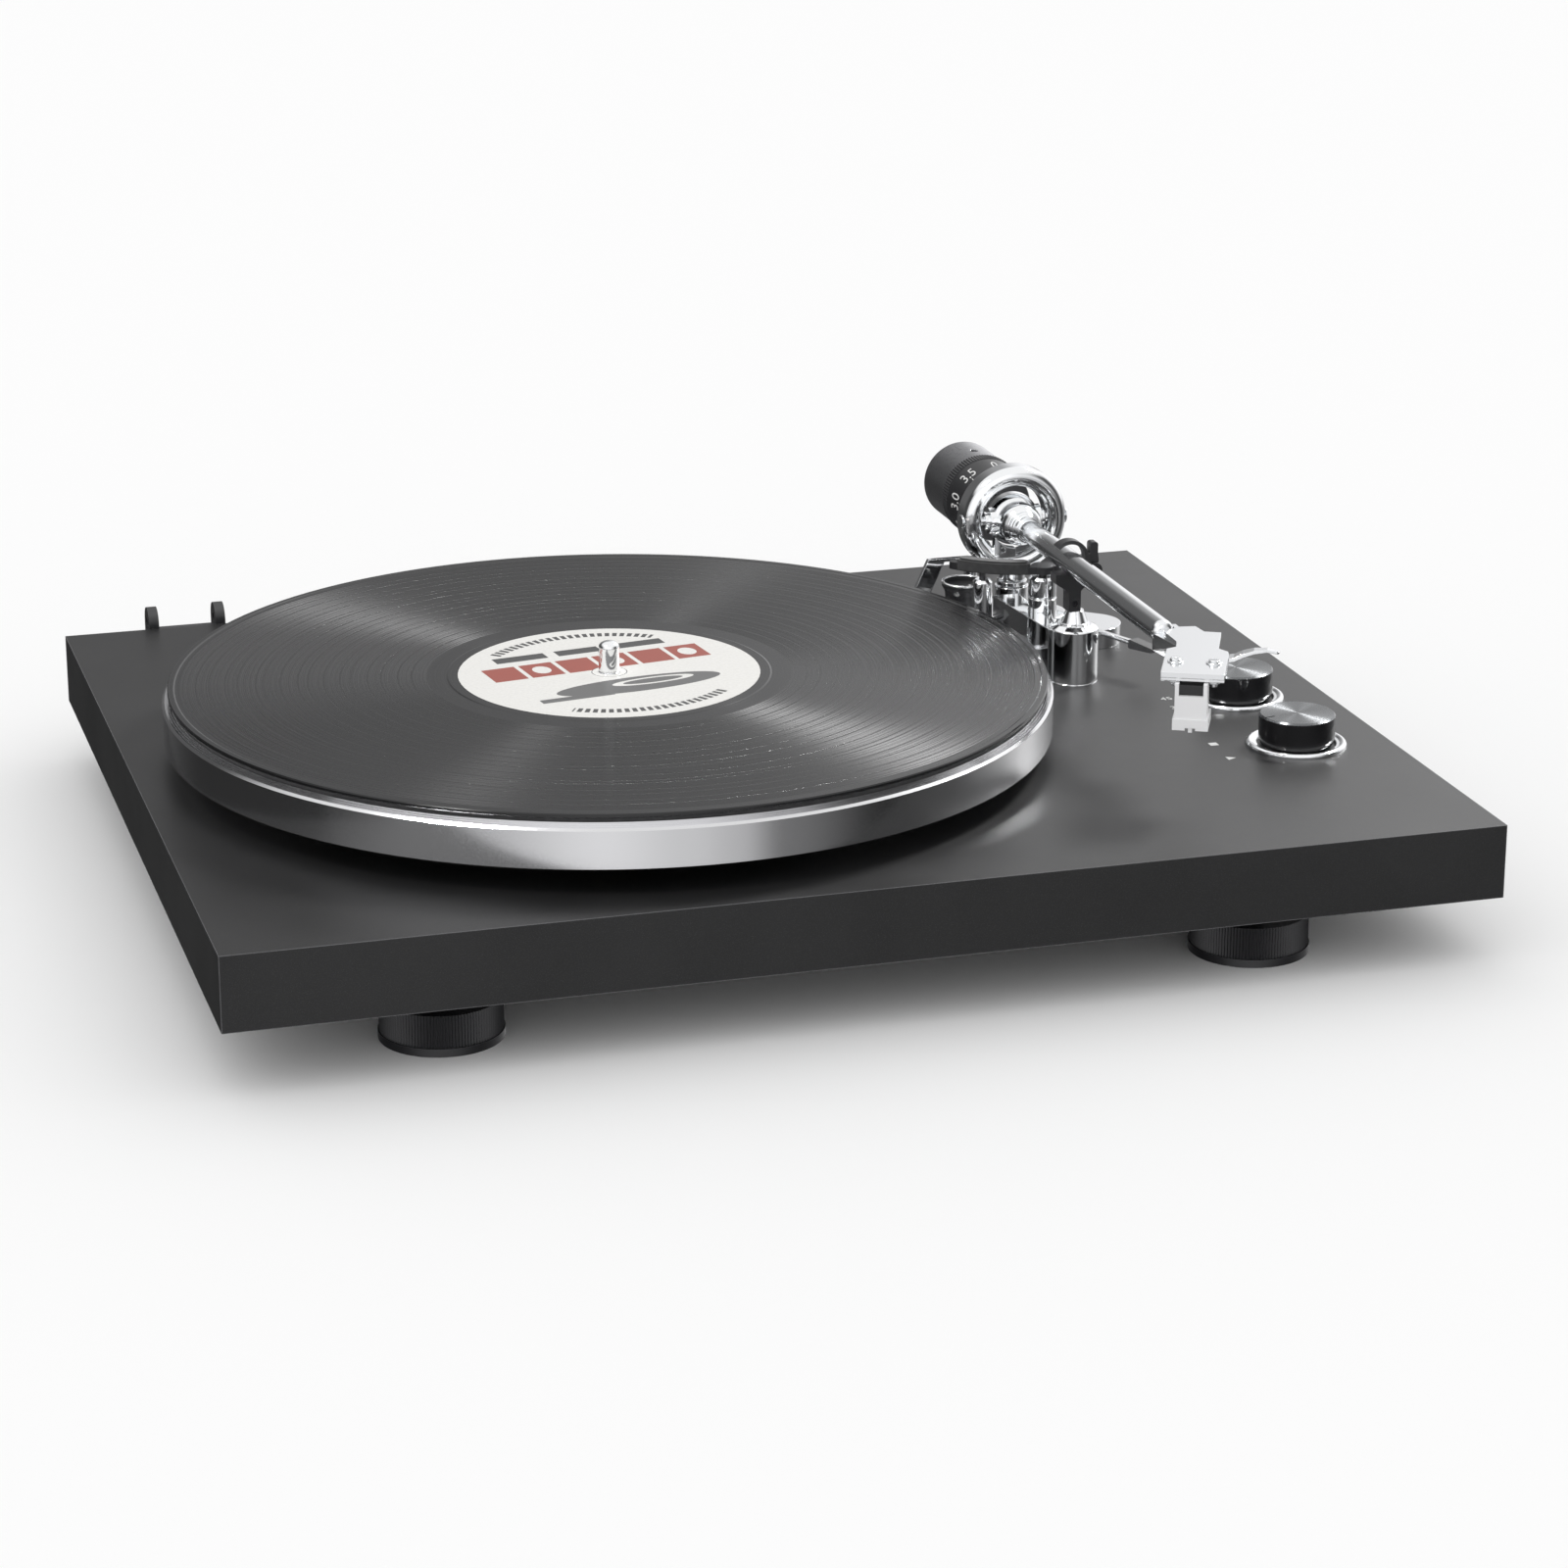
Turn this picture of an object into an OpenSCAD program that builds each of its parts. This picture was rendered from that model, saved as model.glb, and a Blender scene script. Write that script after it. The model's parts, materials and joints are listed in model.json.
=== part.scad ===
// Belt-drive record player: slab plinth, turning platter, straight tonearm.
// The origin is under the middle of the whole object, on the surface it stands on.

/* [Plinth] */
// Width of the plinth
plinth_w = 424; // [420:1:440]
// Depth of the plinth
plinth_d = 350; // [344:1:360]
// Thickness of the plinth
plinth_h = 25.2; // [25.2:0.2:27]
// Thickness of the deck above the routed pocket
deck_t = 9; // [7:0.5:10]

/* [Feet] */
// Height of a foot under the plinth
foot_h = 22; // [20:0.5:30]
// Radius of the knurled part of a foot
foot_r = 19.8; // [16:0.2:20]
// Distance of a foot from the middle, across the width
foot_x = 137; // [125:1:150]
// Distance of a foot from the middle, across the depth
foot_y = 139.5; // [139:0.5:150]
// Number of ridges round a foot
foot_ridges = 120; // [60:10:120]

/* [Platter] */
// Place of the platter axis across the width
platter_x = -48.2; // [-50:0.2:-46]
// Place of the platter axis across the depth
platter_y = -8.5; // [-10:0.5:-7]
// Radius of the platter
platter_r = 152.7; // [151:0.1:153]
// Radius of the record
record_r = 150.8; // [149.5:0.1:151]
// Radius of the paper label on the record
label_r = 52; // [50:0.5:53]
// Radius of the ring that the belt runs on
belt_ring_r = 70; // [60:1:75]

/* [Knobs] */
// Radius of a knob
knob_r = 13.2; // [12:0.1:13.4]
// Place of both knobs across the width
knob_x = 179; // [175:0.5:182]
// Place of the start knob across the depth
start_y = -76.5; // [-85:0.5:-70]
// Place of the speed knob across the depth
speed_y = -20.6; // [-30:0.2:-10]

/* [Tonearm] */
// Radius of the tonearm tube
tube_r = 4.1; // [3.8:0.1:4.1]
// Outer radius of the gimbal ring
ring_r = 20.2; // [19.5:0.1:20.2]
// Inner radius of the gimbal ring
ring_hole_r = 12.8; // [12.5:0.1:13.5]
// Radius of the counterweight
weight_r = 15; // [13:0.1:15.2]
// Angle between the tube and the headshell
head_turn = 25.9; // [25.9:0.1:26]

/* [Hidden] */
$fn = 96;
eps = 0.01;

// The hinge brackets stand this far out behind the plinth.
hinge_out = 12;
y_shift = -hinge_out / 2;
top = plinth_h;
pocket_top = plinth_h - deck_t;
back = plinth_d / 2;

// The pocket under the deck, and the smaller one behind it for the sockets.
pocket_w = 388;
pocket_d = 226;
bay_w = 124;
bay_back = 160;
cover_lip = 5;
cover_t = 2;
cover_gap = 0.4;
feet = [[-1, -1], [1, -1], [-1, 1], [1, 1]];

// Heights of the turning parts, measured from the underside of the plinth.
rim_low = top + 8;
disc_low = top + 17.9;
disc_top = top + 23.2;
mat_top = disc_top + 1.4;
record_top = mat_top + 1.5;
spindle_r = 3.6;
shaft_r = 5;
bearing_floor = 5;
ball_r = 2.4;
belt_low = top + 12.8;
belt_high = top + 16.8;
belt_t = 0.8;
belt_gap = 0.3;
pulley_r = 8;
motor_x = platter_x - 88;
motor_y = platter_y + 66;
motor_r = 17.5;

// The tonearm turns about a vertical axis here, and tilts about this height.
pivot = [128, 76];
arm_z = 70.4;
tube_front = -79;
ring_front = 71.5;
ring_back = 81.5;
head = [123.6, -117.9];
plate_top = 71.8;
plate_low = plate_top - 2;
stylus_z = 52;
screw_pitch = 12.7;
post = [131, 16.3];
post_r = 8.8;
clip_d = 6;
hinge_at = [137.4, 66.6];
lift_at = [127.2, 40];
guide_at = [106.2, 46.4];
lever_at = [139, 52];
lever_z = 37;
lever_turn = -66.4;
dial_at = [111.2, 82.4];
bar_in = 34.8;
bar_out = 38.9;
bar_low = 59.6;
bar_top = 62.3;

module at_plinth() {
    translate([0, y_shift, foot_h]) children();
}

// A ring section from (inner, low) to (outer, high), turned round the Z axis.
module tube_z(outer, inner, low, high) {
    translate([0, 0, low]) difference() {
        cylinder(r = outer, h = high - low);
        translate([0, 0, -1]) cylinder(r = inner, h = high - low + 2);
    }
}

// A cylinder along +Y from y = near to y = far, centred on the tube's axis.
module along_y(r, near, far) {
    translate([pivot.x, near, arm_z]) rotate([-90, 0, 0]) cylinder(r = r, h = far - near);
}

// Two circles with the straight sides that touch them both.
module link_2d(a, ra, b, rb) {
    d = norm(b - a);
    turn = atan2(b.y - a.y, b.x - a.x);
    lean = acos((ra - rb) / d);
    translate(a) circle(r = ra);
    translate(b) circle(r = rb);
    polygon([
        a + ra * [cos(turn + lean), sin(turn + lean)],
        b + rb * [cos(turn + lean), sin(turn + lean)],
        b + rb * [cos(turn - lean), sin(turn - lean)],
        a + ra * [cos(turn - lean), sin(turn - lean)]
    ]);
}

module rounded_2d(w, d, r) {
    square([w - 2 * r, d], center = true);
    square([w, d - 2 * r], center = true);
    for (x = [-1, 1], y = [-1, 1]) translate([x * (w / 2 - r), y * (d / 2 - r)]) circle(r = r);
}

function knurl(outer, inner, count) = [
    for (i = [0 : 2 * count - 1]) (i % 2 == 0 ? outer : inner) * [cos(180 * i / count), sin(180 * i / count)]
];

// ---- Plinth ----

// The pocket's outline, grown by a margin.
module pocket_2d(grow) {
    rounded_2d(pocket_w + 2 * grow, pocket_d + 2 * grow, 8);
    low = pocket_d / 2 - 20;
    translate([-bay_w / 2 - grow, low]) square([bay_w + 2 * grow, bay_back + grow - low]);
}

cover_holes = [
    for (x = [-1, 1], y = [-1, 0, 1]) [x * (pocket_w / 2 + 2.2), y * 90],
    [-58, bay_back + 2.2], [58, bay_back + 2.2], [0, -pocket_d / 2 - 2.2]
];

module plinth() {
    color("#2e2e30") at_plinth() difference() {
        translate([-plinth_w / 2, -plinth_d / 2, 0]) cube([plinth_w, plinth_d, plinth_h]);
        translate([0, 0, -1]) linear_extrude(pocket_top + 1) pocket_2d(0);
        translate([0, 0, -1]) linear_extrude(cover_t + 1) pocket_2d(cover_lip);
        for (p = cover_holes) translate([p.x, p.y, cover_t - 1]) cylinder(r = 1.4, h = 9);
        for (f = feet) translate([f.x * foot_x, f.y * foot_y, -1]) cylinder(r = 3.05, h = 16);
        translate([platter_x, platter_y, 0]) cylinder(r = 9, h = plinth_h + 1);
        translate([motor_x, motor_y, 0]) cylinder(r = 12, h = plinth_h + 1);
        for (a = [0, 180]) translate([motor_x, motor_y, 0]) rotate(a)
            translate([22, 0, 0]) cylinder(r = 1.6, h = plinth_h + 1);
        for (y = [start_y, speed_y]) translate([knob_x, y, 0]) cylinder(r = 4, h = plinth_h + 1);
        translate([pivot.x, pivot.y, 0]) cylinder(r = 8, h = plinth_h + 1);
        translate([-46, bay_back - 5, 5]) cube([92, back - bay_back + 10, pocket_top - 5]);
        translate([-50.5, back - 1.5, 3]) cube([101, 3, 18]);
        for (side = [-1, 1], x = [-6, 6]) translate([side * hinge_x + x, back + 1, 16.5])
            rotate([90, 0, 0]) cylinder(r = 1.3, h = 9);
    }
}

module bottom_cover() {
    color("#1c1c1e") at_plinth() difference() {
        linear_extrude(cover_t) difference() {
            pocket_2d(cover_lip - cover_gap);
            for (x = [-1, 1], i = [0 : 7]) translate([x * 90, -52 + 15 * i]) square([40, 4], center = true);
        }
        for (p = cover_holes) translate([p.x, p.y, -1]) cylinder(r = 1.6, h = 9);
    }
}

// A pan-head screw with a cross slot, head down, its shank upwards from z = 0.
module small_screw(shank_r, shank_h, head_r, head_h) {
    difference() {
        union() {
            cylinder(r = shank_r, h = shank_h);
            translate([0, 0, -head_h]) cylinder(r1 = head_r * 0.8, r2 = head_r, h = head_h);
        }
        for (a = [0, 90]) rotate(a) translate([-head_r * 0.6, -0.3, -head_h - 1])
            cube([head_r * 1.2, 0.6, 1 + head_h * 0.5]);
    }
}

module case_screws() {
    color("#8a8c90") at_plinth() {
        for (p = cover_holes) translate([p.x, p.y, 0]) small_screw(1.4, 8, 3, 1.4);
        translate([motor_x, motor_y, pocket_top - 2]) for (x = [-22, 22]) translate([x, 0, 0])
            small_screw(1.4, 8, 3, 1.4);
    }
}

// ---- Dust-cover hinge brackets ----

hinge_x = 166;
hinge_w = 28.8;
ear_t = 3.7;
ear_r = 6;
ear_pin_r = 2.05;
ear_y = 6;
ear_z = top + 0.8;

module hinge_bracket(side) {
    color("#151516") at_plinth() translate([side * hinge_x, back, 0]) difference() {
        union() {
            translate([-hinge_w / 2, 0, 8]) cube([hinge_w, 2.6, top - 8]);
            for (x = [-hinge_w / 2, hinge_w / 2 - ear_t]) {
                translate([x, 0, 12]) cube([ear_t, 2 * ear_r, ear_z - 12]);
                translate([x, ear_y, ear_z]) rotate([0, 90, 0]) cylinder(r = ear_r, h = ear_t);
            }
        }
        translate([-hinge_w / 2 - 1, ear_y, ear_z]) rotate([0, 90, 0])
            cylinder(r = ear_pin_r, h = hinge_w + 2);
        for (x = [-6, 6]) translate([x, 4, 16.5]) rotate([90, 0, 0]) cylinder(r = 1.6, h = 6);
    }
}

module hinge_screws() {
    color("#3a3b3e") at_plinth() for (side = [-1, 1], x = [-6, 6])
        translate([side * hinge_x + x, back + 2.6, 16.5]) rotate([90, 0, 0]) small_screw(1.3, 9, 2.7, 1.4);
}

// ---- Feet ----

module foot(f) {
    color("#101011") at_plinth() translate([f.x * foot_x, f.y * foot_y, -foot_h]) {
        cylinder(r = foot_r + 0.4, h = 2.7);
        translate([0, 0, 2.7]) linear_extrude(10.8) polygon(knurl(foot_r, foot_r - 0.45, foot_ridges));
        translate([0, 0, 13.5]) cylinder(r = 5.8, h = foot_h - 13.8, $fn = 6);
        translate([0, 0, foot_h - 0.3]) cylinder(r = 3, h = 12);
    }
}

// ---- Bearing, motor and drive ----

module at_platter() {
    at_plinth() translate([platter_x, platter_y, 0]) children();
}

module spindle_bearing() {
    color("#b08d3c") at_platter() rotate_extrude() polygon([
        [0, 3], [9, 3], [9, top], [20, top], [20, top + 2], [19, top + 3], [9, top + 3],
        [9, top + 10.8], [shaft_r + 0.04, top + 10.8], [shaft_r + 0.04, bearing_floor], [0, bearing_floor]
    ]);
}

module thrust_ball() {
    color("#d0d3d6") at_platter() translate([0, 0, bearing_floor + ball_r]) sphere(r = ball_r);
}

module spindle() {
    tip = top + 37.2;
    color("#d8dadd") at_platter() rotate_extrude() polygon([
        [0, bearing_floor + 2 * ball_r + 0.05], [shaft_r, bearing_floor + 2 * ball_r + 0.05],
        [shaft_r, disc_low - 0.2], [spindle_r, disc_low - 0.2], [spindle_r, record_top + 0.05],
        [spindle_r - 0.4, record_top + 0.05], [spindle_r - 0.4, record_top + 0.65],
        [spindle_r, record_top + 0.65], [spindle_r, tip - 2.2],
        for (a = [10 : 10 : 80]) [spindle_r * cos(a), tip - 2.2 + 2.2 * sin(a)], [0, tip]
    ]);
}

module sub_platter() {
    low = belt_low - 1;
    color("#3c3d40") at_platter() rotate_extrude() polygon([
        [shaft_r, low], [belt_ring_r + 1, low], [belt_ring_r + 1, low + 0.7], [belt_ring_r, low + 0.9],
        [belt_ring_r, disc_low - 0.6], [belt_ring_r + 1, disc_low - 0.4], [belt_ring_r + 1, disc_low - 0.01],
        [shaft_r, disc_low - 0.01]
    ]);
}

module platter() {
    rim_in = 146;
    shelf = disc_top - 1.4;
    color("#c9cbce") at_platter() rotate_extrude($fn = 180) polygon([
        [spindle_r + 0.01, disc_low], [rim_in - 2, disc_low], [rim_in, disc_low - 2], [rim_in, rim_low],
        [platter_r - 0.5, rim_low], [platter_r, rim_low + 0.5], [platter_r, shelf - 0.8],
        [platter_r - 0.8, shelf], [platter_r - 1.5, shelf], [platter_r - 1.5, shelf + 0.45],
        [platter_r - 2.1, shelf + 0.45], [platter_r - 2.1, shelf + 0.9], [platter_r - 2.7, shelf + 0.9],
        [platter_r - 2.7, disc_top], [spindle_r + 0.01, disc_top]
    ]);
}

module slip_mat() {
    color("#1a1a1b") at_platter() tube_z(record_r - 1.2, 3.9, disc_top, mat_top, $fn = 180);
}

module record() {
    hole = spindle_r + 0.05;
    land = record_top - 0.2;
    color("#202022") at_platter() rotate_extrude($fn = 180) polygon([
        [hole, mat_top], [record_r - 0.4, mat_top], [record_r, mat_top + 0.4], [record_r, record_top - 0.4],
        [record_r - 0.3, record_top], [record_r - 2, record_top], [record_r - 2.6, land],
        [label_r + 4, land], [label_r + 3.4, record_top - 0.05], [label_r, record_top - 0.05],
        [label_r, land - 0.05], [hole, land - 0.05]
    ]);
}

module record_label() {
    color("#e8e6df") at_platter() tube_z(label_r, spindle_r + 0.1, record_top - 0.25, record_top - 0.06);
}

module drive_motor() {
    color("#9a9c9f") at_plinth() translate([motor_x, motor_y, 0]) difference() {
        union() {
            translate([0, 0, 3.4]) cylinder(r = motor_r, h = pocket_top - 5.4);
            translate([0, 0, pocket_top - 2]) linear_extrude(2) link_2d([-22, 0], 5, [0, 0], motor_r + 1);
            translate([0, 0, pocket_top - 2]) linear_extrude(2) link_2d([0, 0], motor_r + 1, [22, 0], 5);
            translate([0, 0, pocket_top - 1]) cylinder(r = 5, h = 4);
        }
        translate([0, 0, 6]) cylinder(r = 1.53, h = 30);
        for (x = [-22, 22]) translate([x, 0, 0]) cylinder(r = 1.65, h = 30);
    }
}

module motor_shaft() {
    color("#d0d3d6") at_plinth() translate([motor_x, motor_y, 7]) cylinder(r = 1.5, h = belt_high - 6);
}

module motor_pulley() {
    color("#b9985a") at_plinth() translate([motor_x, motor_y, 0]) rotate_extrude() polygon([
        [1.5, belt_low - 1.3], [pulley_r + 1.2, belt_low - 1.3], [pulley_r + 1.2, belt_low - 0.7],
        [pulley_r, belt_low - 0.3], [pulley_r, belt_high + 0.3], [pulley_r + 0.9, belt_high + 0.5],
        [pulley_r + 0.9, belt_high + 0.8], [1.5, belt_high + 0.8]
    ]);
}

module drive_belt() {
    a = [platter_x, platter_y];
    b = [motor_x, motor_y];
    color("#111112") at_plinth() translate([0, 0, belt_low]) linear_extrude(belt_high - belt_low) difference() {
        link_2d(a, belt_ring_r + belt_gap + belt_t, b, pulley_r + belt_gap + belt_t);
        link_2d(a, belt_ring_r + belt_gap, b, pulley_r + belt_gap);
    }
}

// ---- Electronics ----

module circuit_board() {
    color("#1f5a3a") at_plinth() translate([40, -95, 4.4]) {
        cube([90, 56, 1.6]);
        for (x = [4, 86], y = [4, 52]) translate([x, y, 0]) cylinder(r = 2.5, h = pocket_top - 4.4);
        translate([14, 12, 1.6]) cube([16, 12, 3]);
        translate([40, 30, 1.6]) cube([12, 12, 2]);
        for (x = [60, 72]) translate([x, 16, 1.6]) cylinder(r = 4, h = 8);
        for (i = [0 : 3]) translate([14 + 8 * i, 46, 1.6]) cube([5, 6, 5]);
    }
}

module rotary_switch(y) {
    color("#27282a") at_plinth() translate([knob_x, y, 0]) difference() {
        union() {
            translate([-7, -7, 6.5]) cube([14, 14, pocket_top - 6.5]);
            translate([0, 0, pocket_top - 1]) cylinder(r = 3.9, h = deck_t);
            for (i = [-1, 0, 1]) translate([4 * i - 0.5, -9, 8]) cube([1, 3, 0.6]);
        }
        translate([0, 0, 8]) cylinder(r = 3.04, h = 30);
    }
}

module rear_panel() {
    color("#1c1c1e") at_plinth() difference() {
        translate([-50, back - 1.5, 3.5]) cube([100, 1.5, 17]);
        for (x = [-30, -12]) translate([x, back + 1, 10.5]) rotate([90, 0, 0]) cylinder(r = 4.2, h = 4);
        translate([10, back + 1, 10.5]) rotate([90, 0, 0]) cylinder(r = 2.1, h = 4);
        translate([35, back + 1, 10.5]) rotate([90, 0, 0]) cylinder(r = 4.2, h = 4);
    }
}

module audio_jacks() {
    color("#c9a24a") at_plinth() for (x = [-30, -12]) translate([x, back, 10.5]) rotate([-90, 0, 0]) difference() {
        union() {
            translate([0, 0, -12]) cylinder(r = 4.15, h = 20);
            translate([0, 0, 0]) cylinder(r = 5.6, h = 1.2);
        }
        translate([0, 0, -2]) cylinder(r = 1.6, h = 12);
    }
}

module ground_post() {
    color("#c9cbce") at_plinth() translate([10, back, 10.5]) rotate([-90, 0, 0]) {
        translate([0, 0, -8]) cylinder(r = 2, h = 17);
        translate([0, 0, 0.01]) cylinder(r = 4.2, h = 1.2);
        translate([0, 0, 3]) linear_extrude(5) polygon(knurl(4.2, 3.8, 24));
    }
}

module power_inlet() {
    color("#151516") at_plinth() translate([35, back, 10.5]) rotate([-90, 0, 0]) {
        difference() {
            union() {
                translate([0, 0, -11]) cylinder(r = 4.15, h = 12);
                cylinder(r = 5.4, h = 1);
            }
            translate([0, 0, -8]) cylinder(r = 2.8, h = 12);
        }
        translate([0, 0, -9]) cylinder(r = 1, h = 8.5);
    }
}

// ---- Knobs ----

module escutcheon(y) {
    color("#dfe1e4") at_plinth() translate([knob_x, y, top]) rotate_extrude() polygon([
        [13.8, 0], [17.4, 0], [17.4, 0.7],
        for (a = [0 : 15 : 120]) [16.2 + 1.2 * cos(a), 0.7 + 1.1 * sin(a)],
        [14.9, 1.1], [13.8, 1]
    ]);
}

module knob(y) {
    low = top + 1.2;
    color("#0c0c0d") at_plinth() translate([knob_x, y, 0]) {
        rotate_extrude() polygon([
            [0, low], [knob_r - 0.6, low], [knob_r - 0.6, low + 1.2], [knob_r, low + 1.6],
            [knob_r, top + 10.8], [knob_r - 1, top + 10.8], [0, top + 10.8]
        ]);
        translate([0, 0, 9]) cylinder(r = 3, h = low - 9 + 1);
    }
}

module knob_cap(y, turn) {
    low = top + 10.81;
    color("#8d9094") at_plinth() translate([knob_x, y, 0]) difference() {
        rotate_extrude() polygon([
            [0, low], [knob_r, low], [knob_r, low + 0.2], [knob_r - 0.55, low + 0.75], [0, low + 0.75]
        ]);
        rotate(turn) translate([knob_r - 4, -0.35, low + 0.35]) cube([6, 0.7, 2]);
    }
}

// ---- Tonearm base ----

base_h = 7.3;

module lobe(to, r, h) {
    translate([0, 0, top]) linear_extrude(h) link_2d(pivot, 17, to, r);
}

// The wedge-shaped web that joins the base to the rest post.
web_2d = [[115.8, 62], [117.7, 43.6], [119.4, 27.3], [120.7, 15.2], [125, 16.6], [125.4, 38.7], [125.8, 62]];

module arm_base() {
    pillar_top = 47;
    web_top = 45.5;
    guide_r = 3.6;
    guide_top = 57;
    fin_at = [94, 98];
    fin_post = [119, 97];
    color("#dcdee1") at_plinth() {
        difference() {
            union() {
                translate([pivot.x, pivot.y + 2, top]) cylinder(r = 23, h = base_h);
                lobe([153.5, 61], 11.8, base_h);
                lobe(dial_at, 12.5, base_h);
                lobe(lever_at, 7, base_h - 2);
                lobe(lift_at, 8, base_h - 2);
                lobe(guide_at, 5.6, base_h - 3);
                translate([pivot.x, pivot.y, 8]) cylinder(r = 7.9, h = top - 7);
                translate([pivot.x, pivot.y, top]) cylinder(r = 6.3, h = pillar_top - top - 2);
                translate([pivot.x, pivot.y, pillar_top - 1.6]) cylinder(r = 5.7, h = 1.6);
                translate([guide_at.x, guide_at.y, top]) cylinder(r = guide_r, h = guide_top - 1 - top);
                translate([guide_at.x, guide_at.y, guide_top - 1]) cylinder(r1 = guide_r, r2 = guide_r - 0.9, h = 1);
                translate([lever_at.x, lever_at.y, top]) rotate(lever_turn) translate([-4, -5, 0])
                    cube([7, 10, lever_z + 2.6 - top]);
                translate([0, 0, top]) linear_extrude(web_top - top) polygon(web_2d);
                translate([fin_post.x, fin_post.y, top]) cylinder(r = 2.5, h = 50.5 - top);
            }
            translate([pivot.x, pivot.y, 0]) cylinder(r = 3.04, h = 60);
            translate([post.x, post.y, 0]) cylinder(r = post_r + 0.05, h = 60);
            translate([guide_at.x, guide_at.y, 48]) cylinder(r = 1.3, h = 20);
            translate([lift_at.x, lift_at.y, top + base_h - 4]) cylinder(r = 5.25, h = 30);
            translate([dial_at.x, dial_at.y, top + 2]) cylinder(r = 3.04, h = 20);
            translate([lever_at.x, lever_at.y, lever_z]) rotate(lever_turn) {
                rotate([90, 0, 0]) translate([0, 0, -9]) cylinder(r = 1.04, h = 18);
                translate([-4.5, -1.8, -3.4]) cube([14, 3.6, 9]);
            }
        }
        translate([fin_at.x, fin_at.y, top]) rotate([90, 0, 0]) translate([0, 0, -2]) linear_extrude(2)
            polygon([[-3.2, 0], [3.8, 0], [15, 24], [25, 24], [25, 25.3], [8.6, 25.3]]);
    }
}

module lift_cylinder() {
    high = 58.4;
    color("#e2e4e7") at_plinth() translate([lift_at.x, lift_at.y, 0]) rotate_extrude() polygon([
        [1.55, 45], [1.55, high], [4.2, high], [5.2, high - 1], [5.2, 50.9], [4.9, 50.7], [4.9, 50.3],
        [5.2, 50.1], [5.2, top + base_h - 4 + eps], [0, top + base_h - 4 + eps], [0, 45]
    ]);
}

module rest_post() {
    color("#e2e4e7") at_plinth() translate([post.x, post.y, top]) rotate_extrude() polygon([
        [0, 0], [post_r, 0], [post_r, 0.4], [post_r - 0.2, 0.6], [post_r, 0.8], [post_r, 19.8],
        [post_r - 0.5, 20.3], [6.2, 21.4], [5.4, 21.4], [5.4, 22], [4.9, 22], [3.2, 26.6], [0, 26.6]
    ]);
}

// The clip's shape seen from the front: stem, cradle under the tube, and hinge ear.
stem_x = 129.9;
stem_w = 4.6;
stem_low = top + 26.6;
ear_gap = 3.2;

module rest_clip() {
    cradle_top = 65.95;
    color("#1a1a1b") at_plinth() translate([0, post.y + clip_d / 2, 0]) difference() {
        rotate([90, 0, 0]) linear_extrude(clip_d) {
            polygon([
                [stem_x - stem_w / 2, stem_low], [stem_x + stem_w / 2, stem_low], [stem_x + stem_w / 2, 59.4],
                [hinge_at.x - 0.4, hinge_at.y - 2.75], [hinge_at.x, cradle_top], [122.5, cradle_top],
                [122.6, 62.6], [stem_x - stem_w / 2, 59.2]
            ]);
            translate(hinge_at) circle(r = 2.8);
        }
        translate([134, -clip_d / 2 - ear_gap / 2, 63.4]) cube([9, ear_gap, 9]);
        translate([hinge_at.x, 1, hinge_at.y]) rotate([90, 0, 0]) cylinder(r = 1.04, h = clip_d + 2);
        translate([stem_x, 1, stem_low + 3]) rotate([90, 0, 0]) cylinder(r = 1.25, h = clip_d + 2);
    }
}

module clip_screw() {
    color("#9a9c9f") at_plinth() translate([stem_x, post.y, stem_low + 3]) rotate([90, 0, 0]) difference() {
        translate([0, 0, -2.4]) cylinder(r = 1.24, h = 4.8);
        translate([0, 0, 1.6]) cylinder(r = 0.7, h = 3, $fn = 6);
    }
}

// A strap over the tube, a thumb tab and a knuckle with its own pin.
module rest_latch() {
    arch = [128.3, 71.1];
    strap_in = 5.6;
    strap_out = 7;
    neck = ear_gap - 0.4;
    strap_d = 4.4;
    tab_d = 3.6;
    tab_low = hinge_at.y + 3.2;
    tab_x = [135.8, 138.8];
    tab_top = 76.8;
    color("#161617") at_plinth() {
        translate([0, post.y + neck / 2, 0]) rotate([90, 0, 0]) linear_extrude(neck) {
            translate(hinge_at) circle(r = 2.2);
            translate([135.2, hinge_at.y]) square([4, 4]);
        }
        translate([0, post.y + strap_d / 2, 0]) rotate([90, 0, 0]) linear_extrude(strap_d) polygon(concat(
            [for (a = [-20 : 157 / 24 : 137.1]) arch + strap_out * [cos(a), sin(a)]],
            [for (a = [137 : -157 / 24 : -20.1]) arch + strap_in * [cos(a), sin(a)]]
        ));
        translate([0, post.y + tab_d / 2, 0]) rotate([90, 0, 0]) linear_extrude(tab_d) polygon(concat(
            [[134.4, tab_low], [139.2, tab_low], [tab_x[1], tab_low + 3]],
            [for (a = [0 : 15 : 90]) [tab_x[1] - 1, tab_top - 1] + [cos(a), sin(a)]],
            [for (a = [90 : 15 : 180]) [tab_x[0] + 1, tab_top - 1] + [cos(a), sin(a)]],
            [[tab_x[0], 72.8], [134.6, 72.2]]
        ));
        translate([hinge_at.x, post.y + (clip_d - 0.2) / 2, hinge_at.y]) rotate([90, 0, 0])
            cylinder(r = 1, h = clip_d - 0.2);
    }
}

// ---- Anti-skate dial ----

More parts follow.
